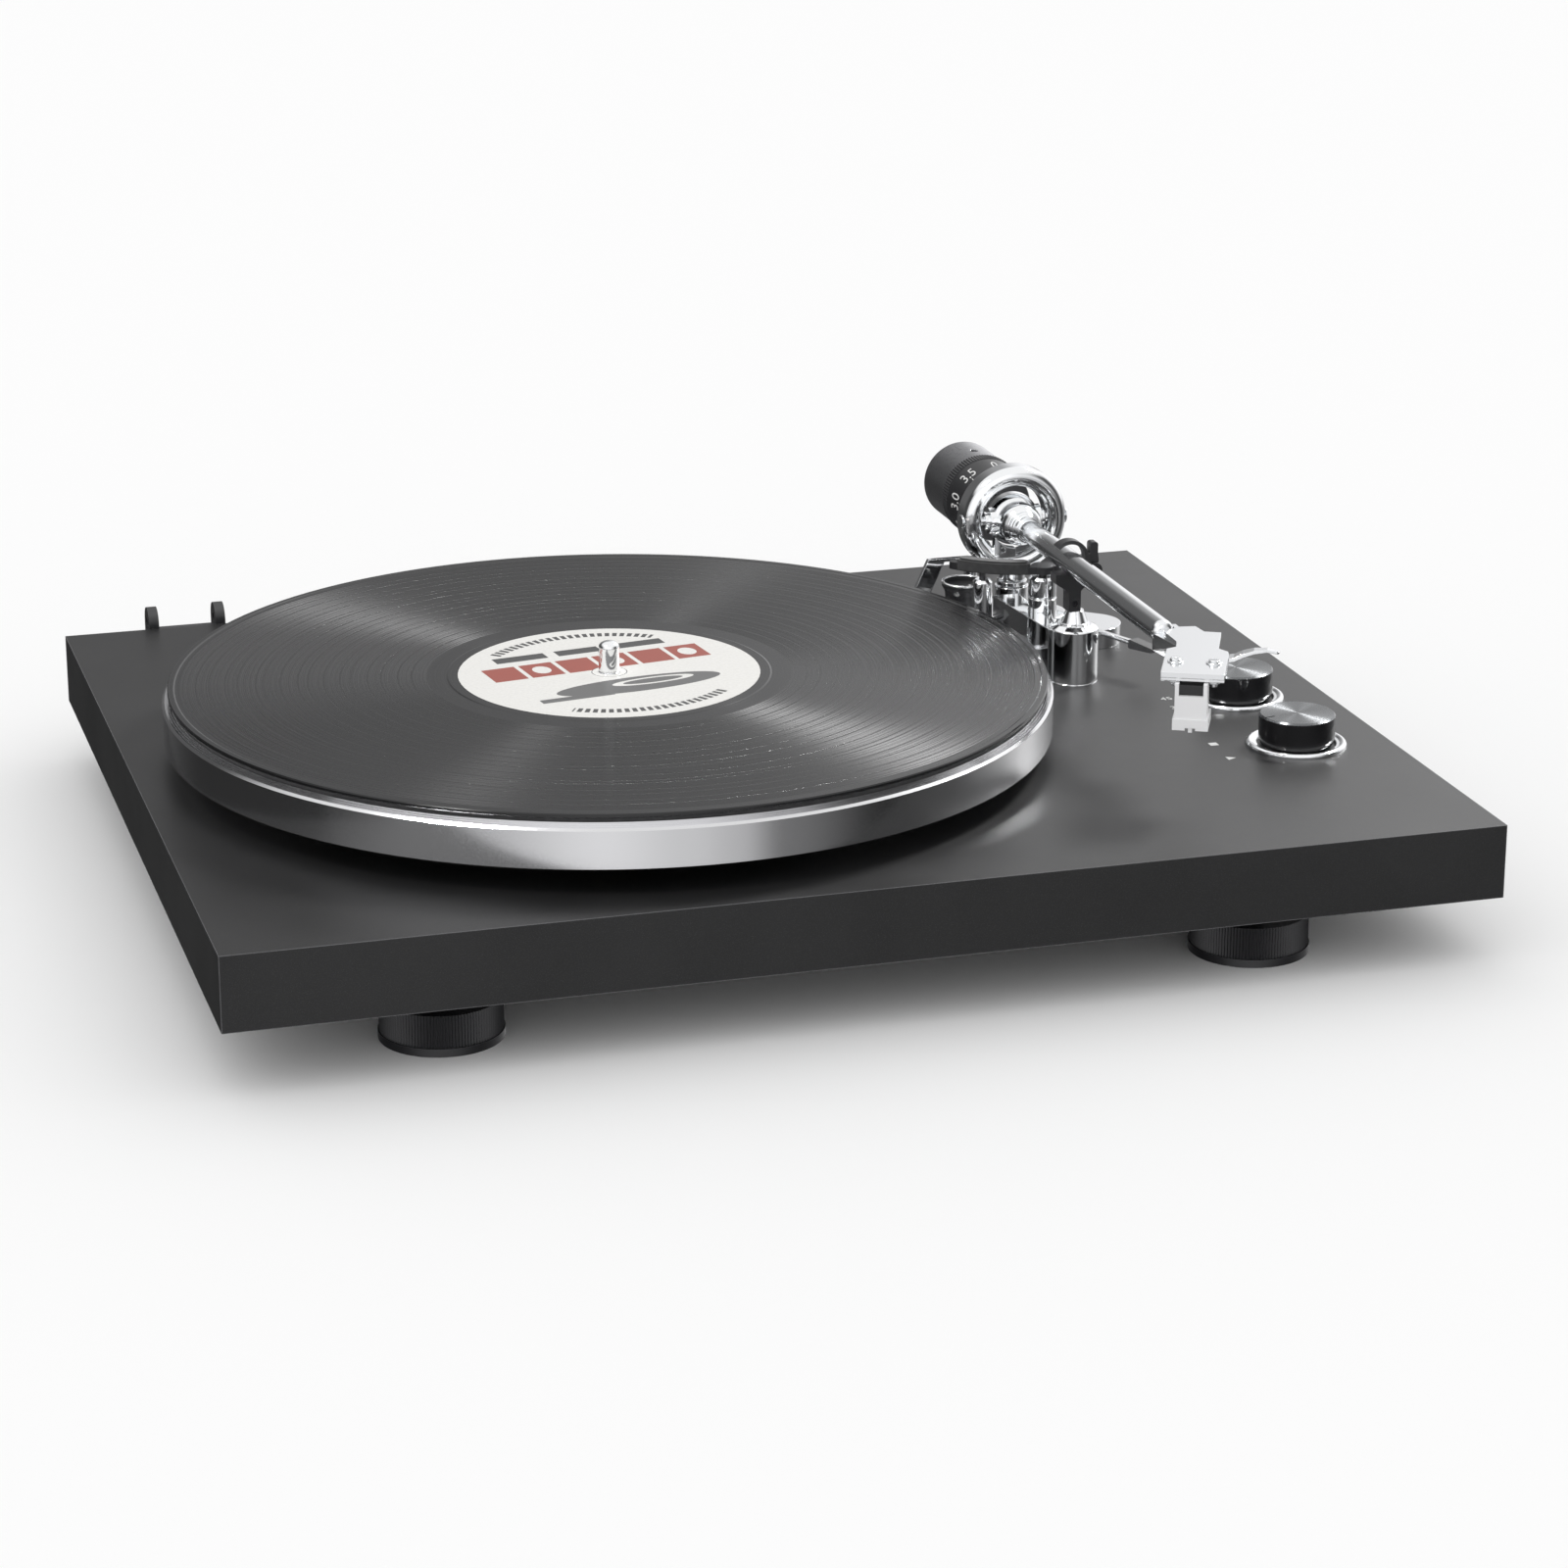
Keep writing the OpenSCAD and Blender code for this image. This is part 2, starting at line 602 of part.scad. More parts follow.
module antiskate_dial() {
    low = top + base_h + 0.3;
    color("#161617") at_plinth() translate([dial_at.x, dial_at.y, 0]) difference() {
        union() {
            rotate_extrude() polygon([
                [0, low], [10.8, low], [10.8, low + 1.2],
                for (a = [0 : 15 : 75]) [10.6 - 4 * sin(a), low + 1.4 + 7.6 * (1 - cos(a))],
                [6.9, low + 9], [7.4, low + 10.4], [8.1, low + 11.6], [8.2, low + 13], [0, low + 13]
            ]);
            translate([0, 0, top + 2.5]) cylinder(r = 3, h = 8);
        }
        translate([0, 0, low + 11.2]) cylinder(r = 7.2, h = 3);
        rotate(200) translate([7.5, -0.3, low]) cube([5, 0.6, 1.6]);
    }
}

// ---- Cue lever and lifter ----

module at_lever() {
    at_plinth() translate([lever_at.x, lever_at.y, lever_z]) rotate(lever_turn) children();
}

module cue_lever() {
    color("#d5d7da") at_lever() {
        rotate([90, 0, 0]) translate([0, 0, -1.5]) cylinder(r = 2.3, h = 3);
        rotate([90, 0, 0]) translate([0, 0, -4.6]) cylinder(r = 1, h = 9.2);
        rotate([0, 90, 0]) cylinder(r = 1.1, h = 42);
    }
}

module cue_grip() {
    color("#17171a") at_lever() translate([37.5, 0, 0]) difference() {
        rotate([90, 0, 0]) translate([0, 0, -2.1]) linear_extrude(4.2)
            polygon([[0, -1.4], [0.8, -1.8], [12, -1.1], [12.8, -0.4], [12.8, 0.5], [0.8, 1.6], [0, 1.3]]);
        rotate([0, 90, 0]) translate([0, 0, -1]) cylinder(r = 1.1, h = 5.51);
    }
}

// The outline of a curved bar round the pivot, with half-round ends.
function curved_bar(inner, outer, from, to) =
    let (middle = (inner + outer) / 2, half = (outer - inner) / 2, step = (to - from) / 24)
    concat(
        [for (i = [0 : 24]) outer * [cos(from + i * step), sin(from + i * step)]],
        [for (a = [15 : 15 : 165]) middle * [cos(to), sin(to)] + half * [cos(to + a), sin(to + a)]],
        [for (i = [24 : -1 : 0]) inner * [cos(from + i * step), sin(from + i * step)]],
        [for (a = [195 : 15 : 345]) middle * [cos(from), sin(from)] + half * [cos(from + a), sin(from + a)]]
    );

module lifter_bar() {
    color("#161617") at_plinth() {
        translate([0, 0, bar_low]) linear_extrude(bar_top - bar_low) {
            translate(pivot) polygon(curved_bar(bar_in, bar_out, -90 - 54, -90 + 9));
            translate(lift_at) circle(r = 4.4);
        }
        translate([lift_at.x, lift_at.y, 46]) cylinder(r = 1.5, h = bar_low - 46 + 1);
        translate([guide_at.x, guide_at.y, 50]) cylinder(r = 1.2, h = bar_low - 50 + 1);
    }
}

// A rubber channel pressed over the bar.
module lifter_pad() {
    skin = 0.5;
    low = bar_low + 0.4;
    high = bar_top + 2.1;
    from = -90 - 48;
    to = -90 - 13;
    color("#2b2a29") at_plinth() translate([pivot.x, pivot.y, 0]) difference() {
        union() {
            translate([0, 0, low]) linear_extrude(high - 0.7 - low)
                polygon(curved_bar(bar_in - skin, bar_out + skin, from, to));
            translate([0, 0, high - 1]) linear_extrude(1)
                polygon(curved_bar(bar_in - skin + 0.7, bar_out + skin - 0.7, from + 0.8, to - 0.8));
        }
        translate([0, 0, low - 1]) linear_extrude(bar_top - low + 1)
            polygon(curved_bar(bar_in, bar_out, -90 - 54, -90 + 9));
    }
}

// ---- Gimbal ----

// A ring section with round corners: r_a at the front, r_b at the back.
function corner(c, r, from, to) = [
    for (i = [0 : 10]) c + r * [cos(from + i * (to - from) / 10), sin(from + i * (to - from) / 10)]
];

module gimbal_ring() {
    depth = ring_back - ring_front;
    round_front = 3.6;
    round_back = 1;
    color("#e6e8ea") at_plinth() difference() {
        union() {
            translate([pivot.x, ring_back, arm_z]) rotate([90, 0, 0]) rotate_extrude() polygon(concat(
                corner([ring_hole_r + round_front, depth - round_front], round_front, 180, 90),
                corner([ring_r - round_front, depth - round_front], round_front, 90, 0),
                corner([ring_r - round_back, round_back], round_back, 0, -90),
                corner([ring_hole_r + round_back, round_back], round_back, -90, -180)
            ));
            translate([pivot.x, pivot.y, 47.4]) cylinder(r = 5, h = 6);
            translate([pivot.x, ring_front + 2.6, arm_z]) rotate([90, 0, 0]) linear_extrude(3.4) difference() {
                translate([-8.6, -13.6]) square([8.2, 8.1]);
                circle(r = 9.9);
            }
        }
        for (a = [0, 180]) translate([pivot.x, pivot.y, arm_z]) rotate(a) rotate([0, 90, 0])
            cylinder(r = 2, h = 30);
        translate([pivot.x - 5.4, ring_front - 2, arm_z - 10.4]) rotate([-90, 0, 0]) cylinder(r = 0.9, h = 8);
    }
}

module yaw_shaft() {
    color("#c9cbce") at_plinth() translate([pivot.x, pivot.y, 0]) {
        translate([0, 0, 10]) cylinder(r = 3, h = 37.4);
        translate([0, 0, 5.6]) cylinder(r = 5, h = 2);
        translate([0, 0, 7]) cylinder(r = 2, h = 4);
    }
}

module pivot_screws() {
    color("#cfd1d4") at_plinth() for (a = [0, 180]) translate([pivot.x, pivot.y, arm_z]) rotate(a)
        rotate([0, 90, 0]) rotate_extrude() polygon([
            [0, 10.2], [1.5, 11], [1.5, 12.2], [2, 12.4], [2, ring_r - 0.1], [2.9, ring_r + 0.05],
            [2.9, ring_r + 0.2], [2.3, ring_r + 0.4], [0, ring_r + 0.4]
        ]);
}

// ---- Tonearm ----

module arm_hub() {
    color("#d9dbde") at_plinth() difference() {
        union() {
            translate([pivot.x, 84.5, arm_z]) rotate([90, 0, 0]) rotate_extrude() polygon([
                [0, 0], [5.4, 0], [8, 1.2], [9.4, 3.4], [9.9, 6.4], [9.7, 9.4], [8.8, 11.6], [7.6, 12.8],
                [7.5, 13.2], [7.9, 14.4], [8, 16.4], [7.8, 18.4], [7.2, 20], [6.3, 21.2], [6, 21.4],
                [6, 22.8], [5.5, 23.1], [5.5, 24], [5, 24.2], [5, 26], [tube_r, 26], [tube_r, 18], [0, 18]
            ]);
            translate([pivot.x - 11.6, pivot.y, arm_z]) rotate([0, 90, 0]) cylinder(r = 3.4, h = 23.2);
            translate([pivot.x - 10, pivot.y, arm_z]) rotate([0, 90, 0]) cylinder(r = 5, h = 20);
        }
        for (a = [0, 180]) translate([pivot.x, pivot.y, arm_z]) rotate(a) rotate([0, 90, 0])
            translate([0, 0, 9.6]) cylinder(r = 1.6, h = 4);
    }
}

// The tube's front end is closed and rounded.
module arm_tube() {
    long = 66.4 - tube_front;
    nose = 2.4;
    bore = tube_r - 0.7;
    color("#cdd0d4") at_plinth() translate([pivot.x, tube_front, arm_z]) rotate([-90, 0, 0]) rotate_extrude()
        polygon(concat(
            [[0, 2], [0, 0], [tube_r - nose, 0]],
            [for (a = [-75 : 15 : 0]) [tube_r - nose + nose * cos(a), nose + nose * sin(a)]],
            [[tube_r, long], [bore, long], [bore, 4], [bore - 1, 2]]
        ));
}

module counterweight_shaft() {
    color("#b9bbbe") at_plinth() along_y(4, 84.51, 128);
}

weight_front = 113;
weight_back = 136.5;
sleeve_r = 5.6;

// A soft sleeve that grips the rear shaft and carries the weight.
module weight_sleeve() {
    color("#3a3a3c") at_plinth() difference() {
        along_y(sleeve_r, 102, weight_back);
        along_y(4.05, 90, 150);
    }
}

module counterweight() {
    depth = weight_back - weight_front;
    color("#1b1b1d") at_plinth() difference() {
        translate([pivot.x, weight_back, arm_z]) rotate([90, 0, 0]) rotate_extrude() polygon([
            [sleeve_r + 0.05, 0.6], [10.4, 0.6], [11, 0], [weight_r - 1, 0], [weight_r, 1],
            [weight_r, depth], [8, depth], [8, depth + 12.4], [sleeve_r + 0.05, depth + 12.4]
        ]);
        translate([pivot.x, 121, arm_z + weight_r - 3]) cylinder(r = 1.5, h = 6);
    }
}

module force_dial() {
    front = 95;
    front_r = 13.6;
    knurl_front = 107.4;
    color("#232325") at_plinth() difference() {
        union() {
            translate([pivot.x, weight_front - 0.1, arm_z]) rotate([90, 0, 0])
                linear_extrude(weight_front - 0.1 - knurl_front) polygon(knurl(15.46, 15.16, 90));
            translate([pivot.x, knurl_front, arm_z]) rotate([90, 0, 0]) rotate_extrude() polygon([
                [0, 0], [weight_r + 0.1, 0], [weight_r + 0.1, 1.2], [front_r, knurl_front - front - 0.5],
                [front_r - 0.5, knurl_front - front], [0, knurl_front - front]
            ]);
        }
        along_y(8.05, 100.2, 120);
        along_y(4.6, 80, 101);
    }
}

module at_head() {
    at_plinth() translate([head.x, head.y, 0]) rotate(-head_turn) children();
}

// Local axes at the head: +X to the right of the cartridge, +Y towards the pivot.
module headshell() {
    color("#eceef0") {
        at_head() difference() {
            union() {
                translate([0, 0, plate_low]) linear_extrude(2) polygon([
                    [-10.3, -12.2], [10.6, -12.2], [10.5, 11], [9.9, 14.1], [6.7, 17], [6.2, 36], [0.4, 36.2],
                    [-3, 42.1], [-8.5, 40.6], [-9.8, 43.6], [-12.4, 42.9], [-14.2, 36.7], [-7.8, 22.6],
                    [-7.6, 16.9], [-10.5, 14.1]
                ]);
                translate([-10.3, -12, plate_low - 1]) cube([20.9, 1.6, 2]);
                translate([-10.3, -11, plate_low - 1.6]) cube([1.2, 24.6, 2]);
                translate([9.4, -11, plate_low - 1.2]) cube([1.2, 23.6, 2]);
                translate([0, 0, plate_low - 5.4]) linear_extrude(6)
                    polygon([[-17, 36], [-7.8, 22.6], [-3, 20], [-1, 30], [-3.2, 40.8], [-9.8, 43.6], [-12.4, 42.9]]);
            }
            for (x = [-1, 1]) translate([x * screw_pitch / 2, 0, plate_low - 3]) cylinder(r = 1.3, h = 8);
            rotate(head_turn) translate([pivot.x - head.x, tube_front - head.y, arm_z])
                rotate([-90, 0, 0]) translate([0, 0, 0]) cylinder(r = tube_r, h = 30);
        }
    }
}

module headshell_screws() {
    color("#c9cbce") at_head() for (x = [-1, 1]) translate([x * screw_pitch / 2, 0, 0]) difference() {
        union() {
            translate([0, 0, plate_low - 6]) cylinder(r = 1.25, h = 8.5);
            translate([0, 0, plate_top]) cylinder(r = 2.7, h = 0.35);
            translate([0, 0, plate_top]) cylinder(r1 = 2.1, r2 = 1.8, h = 1.2);
            translate([0, 0, plate_low - 4.8]) cylinder(r = 2.4, h = 1.8, $fn = 6);
        }
        rotate(24 * x) translate([-3, -0.3, plate_top + 0.7]) cube([6, 0.6, 2]);
    }
}

// A curved blade that tapers towards its tip.
module finger_lift() {
    color("#e4e6e9") at_head() intersection() {
        translate([0, 14, 0]) rotate([90, 0, 0]) linear_extrude(10) polygon([
            [10.62, plate_low + 0.4], [12.5, plate_low + 0.7], [15.5, plate_low + 2.2], [19, plate_low + 3.4],
            [23, plate_low + 4], [27, plate_low + 3.4], [27.4, plate_low + 4.2], [23.2, plate_low + 5],
            [18.8, plate_low + 4.6], [15, plate_low + 3.4], [12.2, plate_low + 2], [10.62, plate_low + 1.7]
        ]);
        linear_extrude(plate_top + 20) polygon([
            [10.62, 6.6], [16, 7], [22, 7.8], [26.4, 8.6], [27.6, 9.3], [26.4, 10.2], [22, 11], [16, 11.8],
            [10.62, 12.2]
        ]);
    }
}

module cartridge() {
    color("#101012") at_head() difference() {
        union() {
            translate([-8.7, -3.2, plate_low - 2.9]) cube([17.4, 7, 2.9]);
            translate([-4.8, -10.35, plate_low - 2.9]) cube([9.6, 17.75, 2.9]);
            translate([-4, -13.2, plate_low - 12]) cube([8, 20.4, 10]);
            for (x = [-2.4, 2.4], z = [4, 8]) translate([x, 7, plate_low - z]) rotate([-90, 0, 0])
                cylinder(r = 0.6, h = 4);
        }
        for (x = [-1, 1]) translate([x * screw_pitch / 2, 0, plate_low - 4]) cylinder(r = 1.3, h = 6);
    }
}

module stylus() {
    front = -14.6;
    color("#f1f2f3") at_head() {
        difference() {
            union() {
                translate([-5.3, front, plate_low - 13.6]) cube([10.6, 9, 10.69]);
                translate([-5.3, front, plate_low - 4]) cube([10.6, 4.1, 2.7]);
                translate([-5.9, front - 0.4, plate_low - 17]) cube([11.8, 14, 3.7]);
            }
            translate([-4.02, front + 1.38, plate_low - 12.02]) cube([8.04, 12, 12]);
            translate([-4.02, front - 1, plate_low - 5.4]) cube([8.04, 12, 6]);
            translate([-1.7, front - 1, plate_low - 18]) cube([3.4, 3, 1.9]);
        }
        translate([-0.65, front + 0.2, stylus_z]) cube([1.3, 1.3, plate_low - 16 - stylus_z]);
    }
}

plinth();
bottom_cover();
case_screws();
hinge_bracket(-1);  // hinge_bracket_left
hinge_bracket(1);  // hinge_bracket_right
hinge_screws();
spindle_bearing();
thrust_ball();
drive_motor();
circuit_board();
rotary_switch(start_y);  // start_switch
rotary_switch(speed_y);  // speed_switch
escutcheon(start_y);  // start_escutcheon
escutcheon(speed_y);  // speed_escutcheon
rear_panel();
audio_jacks();
ground_post();
power_inlet();
arm_base();
lift_cylinder();
rest_post();
rest_clip();
clip_screw();
drive_belt();
foot(feet[0]);  // foot_front_left
foot(feet[1]);  // foot_front_right
foot(feet[2]);  // foot_back_left
foot(feet[3]);  // foot_back_right
platter();
sub_platter();
spindle();
slip_mat();
record();
record_label();
motor_pulley();
motor_shaft();
knob(start_y);  // start_knob
knob_cap(start_y, 190);  // start_knob_cap
knob(speed_y);  // speed_knob
knob_cap(speed_y, 192);  // speed_knob_cap
gimbal_ring();
yaw_shaft();
pivot_screws();
arm_hub();
arm_tube();
counterweight_shaft();
headshell();
headshell_screws();
finger_lift();
cartridge();
stylus();
weight_sleeve();
counterweight();
force_dial();
antiskate_dial();
cue_lever();
cue_grip();
lifter_bar();
lifter_pad();
rest_latch();
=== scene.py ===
"""A belt-drive record player in a plain white studio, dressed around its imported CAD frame."""

import json
import math

import bmesh
import bpy
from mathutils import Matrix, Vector
from mathutils.bvhtree import BVHTree


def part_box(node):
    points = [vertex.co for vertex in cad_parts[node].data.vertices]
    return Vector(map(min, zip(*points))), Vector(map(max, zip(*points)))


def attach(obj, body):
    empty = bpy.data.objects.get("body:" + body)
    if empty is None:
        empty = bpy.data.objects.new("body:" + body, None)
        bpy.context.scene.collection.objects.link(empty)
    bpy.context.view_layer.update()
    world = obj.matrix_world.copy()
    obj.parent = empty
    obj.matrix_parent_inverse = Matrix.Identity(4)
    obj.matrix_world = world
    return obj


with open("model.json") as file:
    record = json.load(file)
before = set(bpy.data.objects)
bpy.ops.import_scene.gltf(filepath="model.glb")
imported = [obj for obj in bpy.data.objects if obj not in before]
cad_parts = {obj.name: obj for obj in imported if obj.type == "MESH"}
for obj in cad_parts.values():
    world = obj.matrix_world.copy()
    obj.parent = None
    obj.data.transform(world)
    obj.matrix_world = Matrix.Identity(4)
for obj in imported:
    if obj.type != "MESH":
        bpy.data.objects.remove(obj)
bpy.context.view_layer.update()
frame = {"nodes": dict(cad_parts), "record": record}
NODES = frame["nodes"]
MM = 0.001

# Bevel radius of the lighter-edge mask: rubbed wear and a painted highlight along sharp edges.
EDGE_WEAR_AND_HIGHLIGHT_SIZE = 0.6 * MM
# Radii in mm: gaps between the record's tracks, and the smooth run-out and run-in.
TRACK_GAPS = (141.2, 136.9, 131.4, 127.2, 121.0, 118.3, 112.7, 106.6,
              103.4, 98.0, 92.3, 88.8, 83.1, 78.4, 72.6, 67.9)
TRACK_GAP_HALF = 0.28
GROOVE_PITCH = 0.42
RUN_OUT = (62.5, 63.0)
RUN_IN = (146.2, 146.6)


def centre(node):
    low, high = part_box(node)
    return (Vector(low) + Vector(high)) / 2


def top_of(node):
    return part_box(node)[1][2]


# ---------------------------------------------------------------- materials


class Shader:
    """A node material under construction: a Principled shader and short calls that feed it."""

    def __init__(self, name, colour, roughness, metallic=0.0, **sockets):
        self.material = bpy.data.materials.new(name)
        self.material.use_nodes = True
        tree = self.material.node_tree
        self.nodes, self.links = tree.nodes, tree.links
        self.bsdf = self.nodes["Principled BSDF"]
        self.set("Base Color", (*colour, 1.0))
        self.set("Roughness", roughness)
        self.set("Metallic", metallic)
        for key, value in sockets.items():
            self.set(key.replace("_", " "), value)
        self.last_normal = None

    def set(self, socket, value):
        self.bsdf.inputs[socket].default_value = value

    def node(self, kind, **settings):
        made = self.nodes.new(kind)
        for key, value in settings.items():
            setattr(made, key, value)
        return made

    def plug(self, source, target, socket):
        if isinstance(source, (int, float, tuple)):
            target.inputs[socket].default_value = source
        else:
            self.links.new(source, target.inputs[socket])

    def math(self, operation, a, b=0.0, c=0.0):
        made = self.node("ShaderNodeMath", operation=operation)
        self.plug(a, made, 0)
        self.plug(b, made, 1)
        if operation in ("MULTIPLY_ADD", "COMPARE"):
            self.plug(c, made, 2)
        return made.outputs[0]

    def place(self):
        return self.node("ShaderNodeTexCoord").outputs["Object"]

    def from_point(self, point, turn=0.0):
        """Object coordinates measured from a point, turned about Z."""
        made = self.node("ShaderNodeMapping", vector_type="TEXTURE")
        made.inputs["Location"].default_value = point
        made.inputs["Rotation"].default_value = (0, 0, turn)
        self.links.new(self.place(), made.inputs["Vector"])
        return made.outputs[0]

    def split(self, vector):
        made = self.node("ShaderNodeSeparateXYZ")
        self.links.new(vector, made.inputs[0])
        return made.outputs

    def radius(self, point):
        """Distance from a vertical axis through the point."""
        x, y, _ = self.split(self.from_point(point))
        squares = self.math("MULTIPLY", x, x), self.math("MULTIPLY", y, y)
        return self.math("SQRT", self.math("ADD", *squares))

    def noise(self, scale, detail=3.0, stretch=None):
        made = self.node("ShaderNodeTexNoise")
        made.inputs["Scale"].default_value = scale
        made.inputs["Detail"].default_value = detail
        source = self.place()
        if stretch:
            mapping = self.node("ShaderNodeMapping")
            mapping.inputs["Scale"].default_value = stretch
            self.links.new(source, mapping.inputs["Vector"])
            source = mapping.outputs[0]
        self.links.new(source, made.inputs["Vector"])
        return made.outputs[0]

    def ramp(self, value, *stops):
        """Maps a value through (place, colour or grey) stops."""
        made = self.node("ShaderNodeValToRGB")
        elements = made.color_ramp.elements
        while len(elements) < len(stops):
            elements.new(0.5)
        for element, (place, colour) in zip(elements, stops):
            element.position = place
            grey = isinstance(colour, (int, float))
            element.color = (colour, colour, colour, 1) if grey else (*colour, 1)
        self.links.new(value, made.inputs[0])
        return made.outputs[0]

    def range(self, value, low, high, to_low, to_high):
        made = self.node("ShaderNodeMapRange")
        self.links.new(value, made.inputs[0])
        for i, number in enumerate((low, high, to_low, to_high), start=1):
            made.inputs[i].default_value = number
        return made.outputs[0]

    def mix(self, factor, a, b):
        made = self.node("ShaderNodeMix", data_type="RGBA")
        self.plug(factor, made, 0)
        self.plug(a, made, 6)
        self.plug(b, made, 7)
        return made.outputs[2]

    def colour(self, output):
        self.links.new(output, self.bsdf.inputs["Base Color"])

    def rough(self, output):
        self.links.new(output, self.bsdf.inputs["Roughness"])

    def bump(self, height, distance, strength=1.0):
        made = self.node("ShaderNodeBump")
        made.inputs["Distance"].default_value = distance
        made.inputs["Strength"].default_value = strength
        self.links.new(height, made.inputs["Height"])
        if self.last_normal:
            self.links.new(self.last_normal, made.inputs["Normal"])
        self.last_normal = made.outputs[0]
        self.links.new(self.last_normal, self.bsdf.inputs["Normal"])

    def spun(self, amount):
        """Brushed round the vertical axis, as turned metal is."""
        self.set("Anisotropic", amount)
        self.set("Anisotropic Rotation", 0.25)
        made = self.node("ShaderNodeTangent", direction_type="RADIAL", axis="Z")
        self.links.new(made.outputs[0], self.bsdf.inputs["Tangent"])

    def soft_edges(self, size):
        """Shades sharp corners as if they were rounded by this radius."""
        made = self.node("ShaderNodeBevel", samples=4)
        made.inputs["Radius"].default_value = size
        self.last_normal = made.outputs[0]
        self.links.new(self.last_normal, self.bsdf.inputs["Normal"])

    def edge_wear_and_highlight(self, strength):
        """The strength on sharp edges, 0 on flats: a mask for lighter edges, partly rubbed wear and
        partly a painted highlight.
        """
        bevel = self.node("ShaderNodeBevel", samples=6)
        bevel.inputs["Radius"].default_value = EDGE_WEAR_AND_HIGHLIGHT_SIZE
        geometry = self.node("ShaderNodeNewGeometry")
        dot = self.node("ShaderNodeVectorMath", operation="DOT_PRODUCT")
        self.links.new(bevel.outputs[0], dot.inputs[0])
        self.links.new(geometry.outputs["Normal"], dot.inputs[1])
        edge = self.range(dot.outputs["Value"], 0.98, 0.75, 0.0, 1.0)
        return self.math("MULTIPLY", edge, strength)


def chrome():
    s = Shader("chrome", (0.9, 0.91, 0.92), 0.05, 1.0)
    s.soft_edges(0.5 * MM)
    s.rough(s.range(s.noise(900, 2), 0.3, 0.7, 0.03, 0.07))
    s.bump(s.noise(160, 2), 0.00002, 0.2)
    return s.material


def brushed(name, colour, roughness, stretch, amount=0.5):
    s = Shader(name, colour, roughness, 1.0, Anisotropic=amount)
    s.soft_edges(0.35 * MM)
    grain = s.noise(900, 3, stretch=stretch)
    s.rough(s.range(grain, 0.3, 0.7, roughness * 0.75, roughness * 1.3))
    s.bump(grain, 0.00002, 0.35)
    return s.material


def turned(name, colour, roughness, point, pitch, amount=0.7):
    """Metal turned on a lathe about a vertical axis: fine rings and a fan-shaped sheen."""
    s = Shader(name, colour, roughness, 1.0)
    s.spun(amount)
    rings = s.math("SINE", s.math("MULTIPLY", s.radius(point), math.tau / pitch))
    grain = s.noise(1500, 2)
    s.rough(s.range(grain, 0.3, 0.7, roughness * 0.8, roughness * 1.25))
    s.bump(rings, 0.000004, 0.5)
    s.bump(grain, 0.00001, 0.2)
    return s.material


def plastic(name, colour, roughness, grain_size=2200, depth=0.00003, wear_and_highlight=0.5):
    s = Shader(name, colour, roughness)
    grain = s.noise(grain_size, 4)
    lighter = tuple(min(1.0, c * 2.2 + 0.03) for c in colour)
    # Lighter colour on sharp edges: rubbed wear and a painted highlight along the edges.
    s.colour(s.mix(s.edge_wear_and_highlight(wear_and_highlight), (*colour, 1), (*lighter, 1)))
    s.rough(s.range(s.noise(60, 4), 0.3, 0.7, roughness * 0.85, min(1.0, roughness * 1.15)))
    s.bump(grain, depth, 0.6)
    return s.material


def rubber(name, colour, grain_size=3000):
    s = Shader(name, colour, 0.72, Sheen_Weight=0.15)
    lighter = tuple(c * 1.7 for c in colour)
    s.colour(s.mix(s.range(s.noise(400, 4), 0.35, 0.65, 0, 1), (*colour, 1), (*lighter, 1)))
    s.bump(s.noise(grain_size, 5), 0.00006, 0.7)
    return s.material


def plinth_lacquer():
    """Satin dark lacquer over board: fine dust-like grain, a little orange peel, and lighter edges that
    are rubbed wear and a painted highlight.
    """
    s = Shader("plinth_lacquer", (0.012, 0.012, 0.0125), 0.4, Specular_IOR_Level=0.4)
    speck = s.range(s.noise(4200, 2), 0.56, 0.72, 0.0, 1.0)
    cloud = s.range(s.noise(24, 4), 0.35, 0.65, 0.0, 1.0)
    base = s.mix(cloud, (0.009, 0.009, 0.0094, 1), (0.013, 0.013, 0.0135, 1))
    base = s.mix(speck, base, (0.034, 0.034, 0.035, 1))
    # Lighter sharp edges: rubbed wear and a painted highlight along the top-front edge.
    s.colour(s.mix(s.edge_wear_and_highlight(0.9), base, (0.2, 0.2, 0.21, 1)))
    s.rough(s.range(s.noise(14, 5), 0.3, 0.7, 0.33, 0.43))
    s.bump(s.noise(2600, 4), 0.00004, 0.55)
    s.bump(s.noise(220, 2), 0.00003, 0.3)
    return s.material


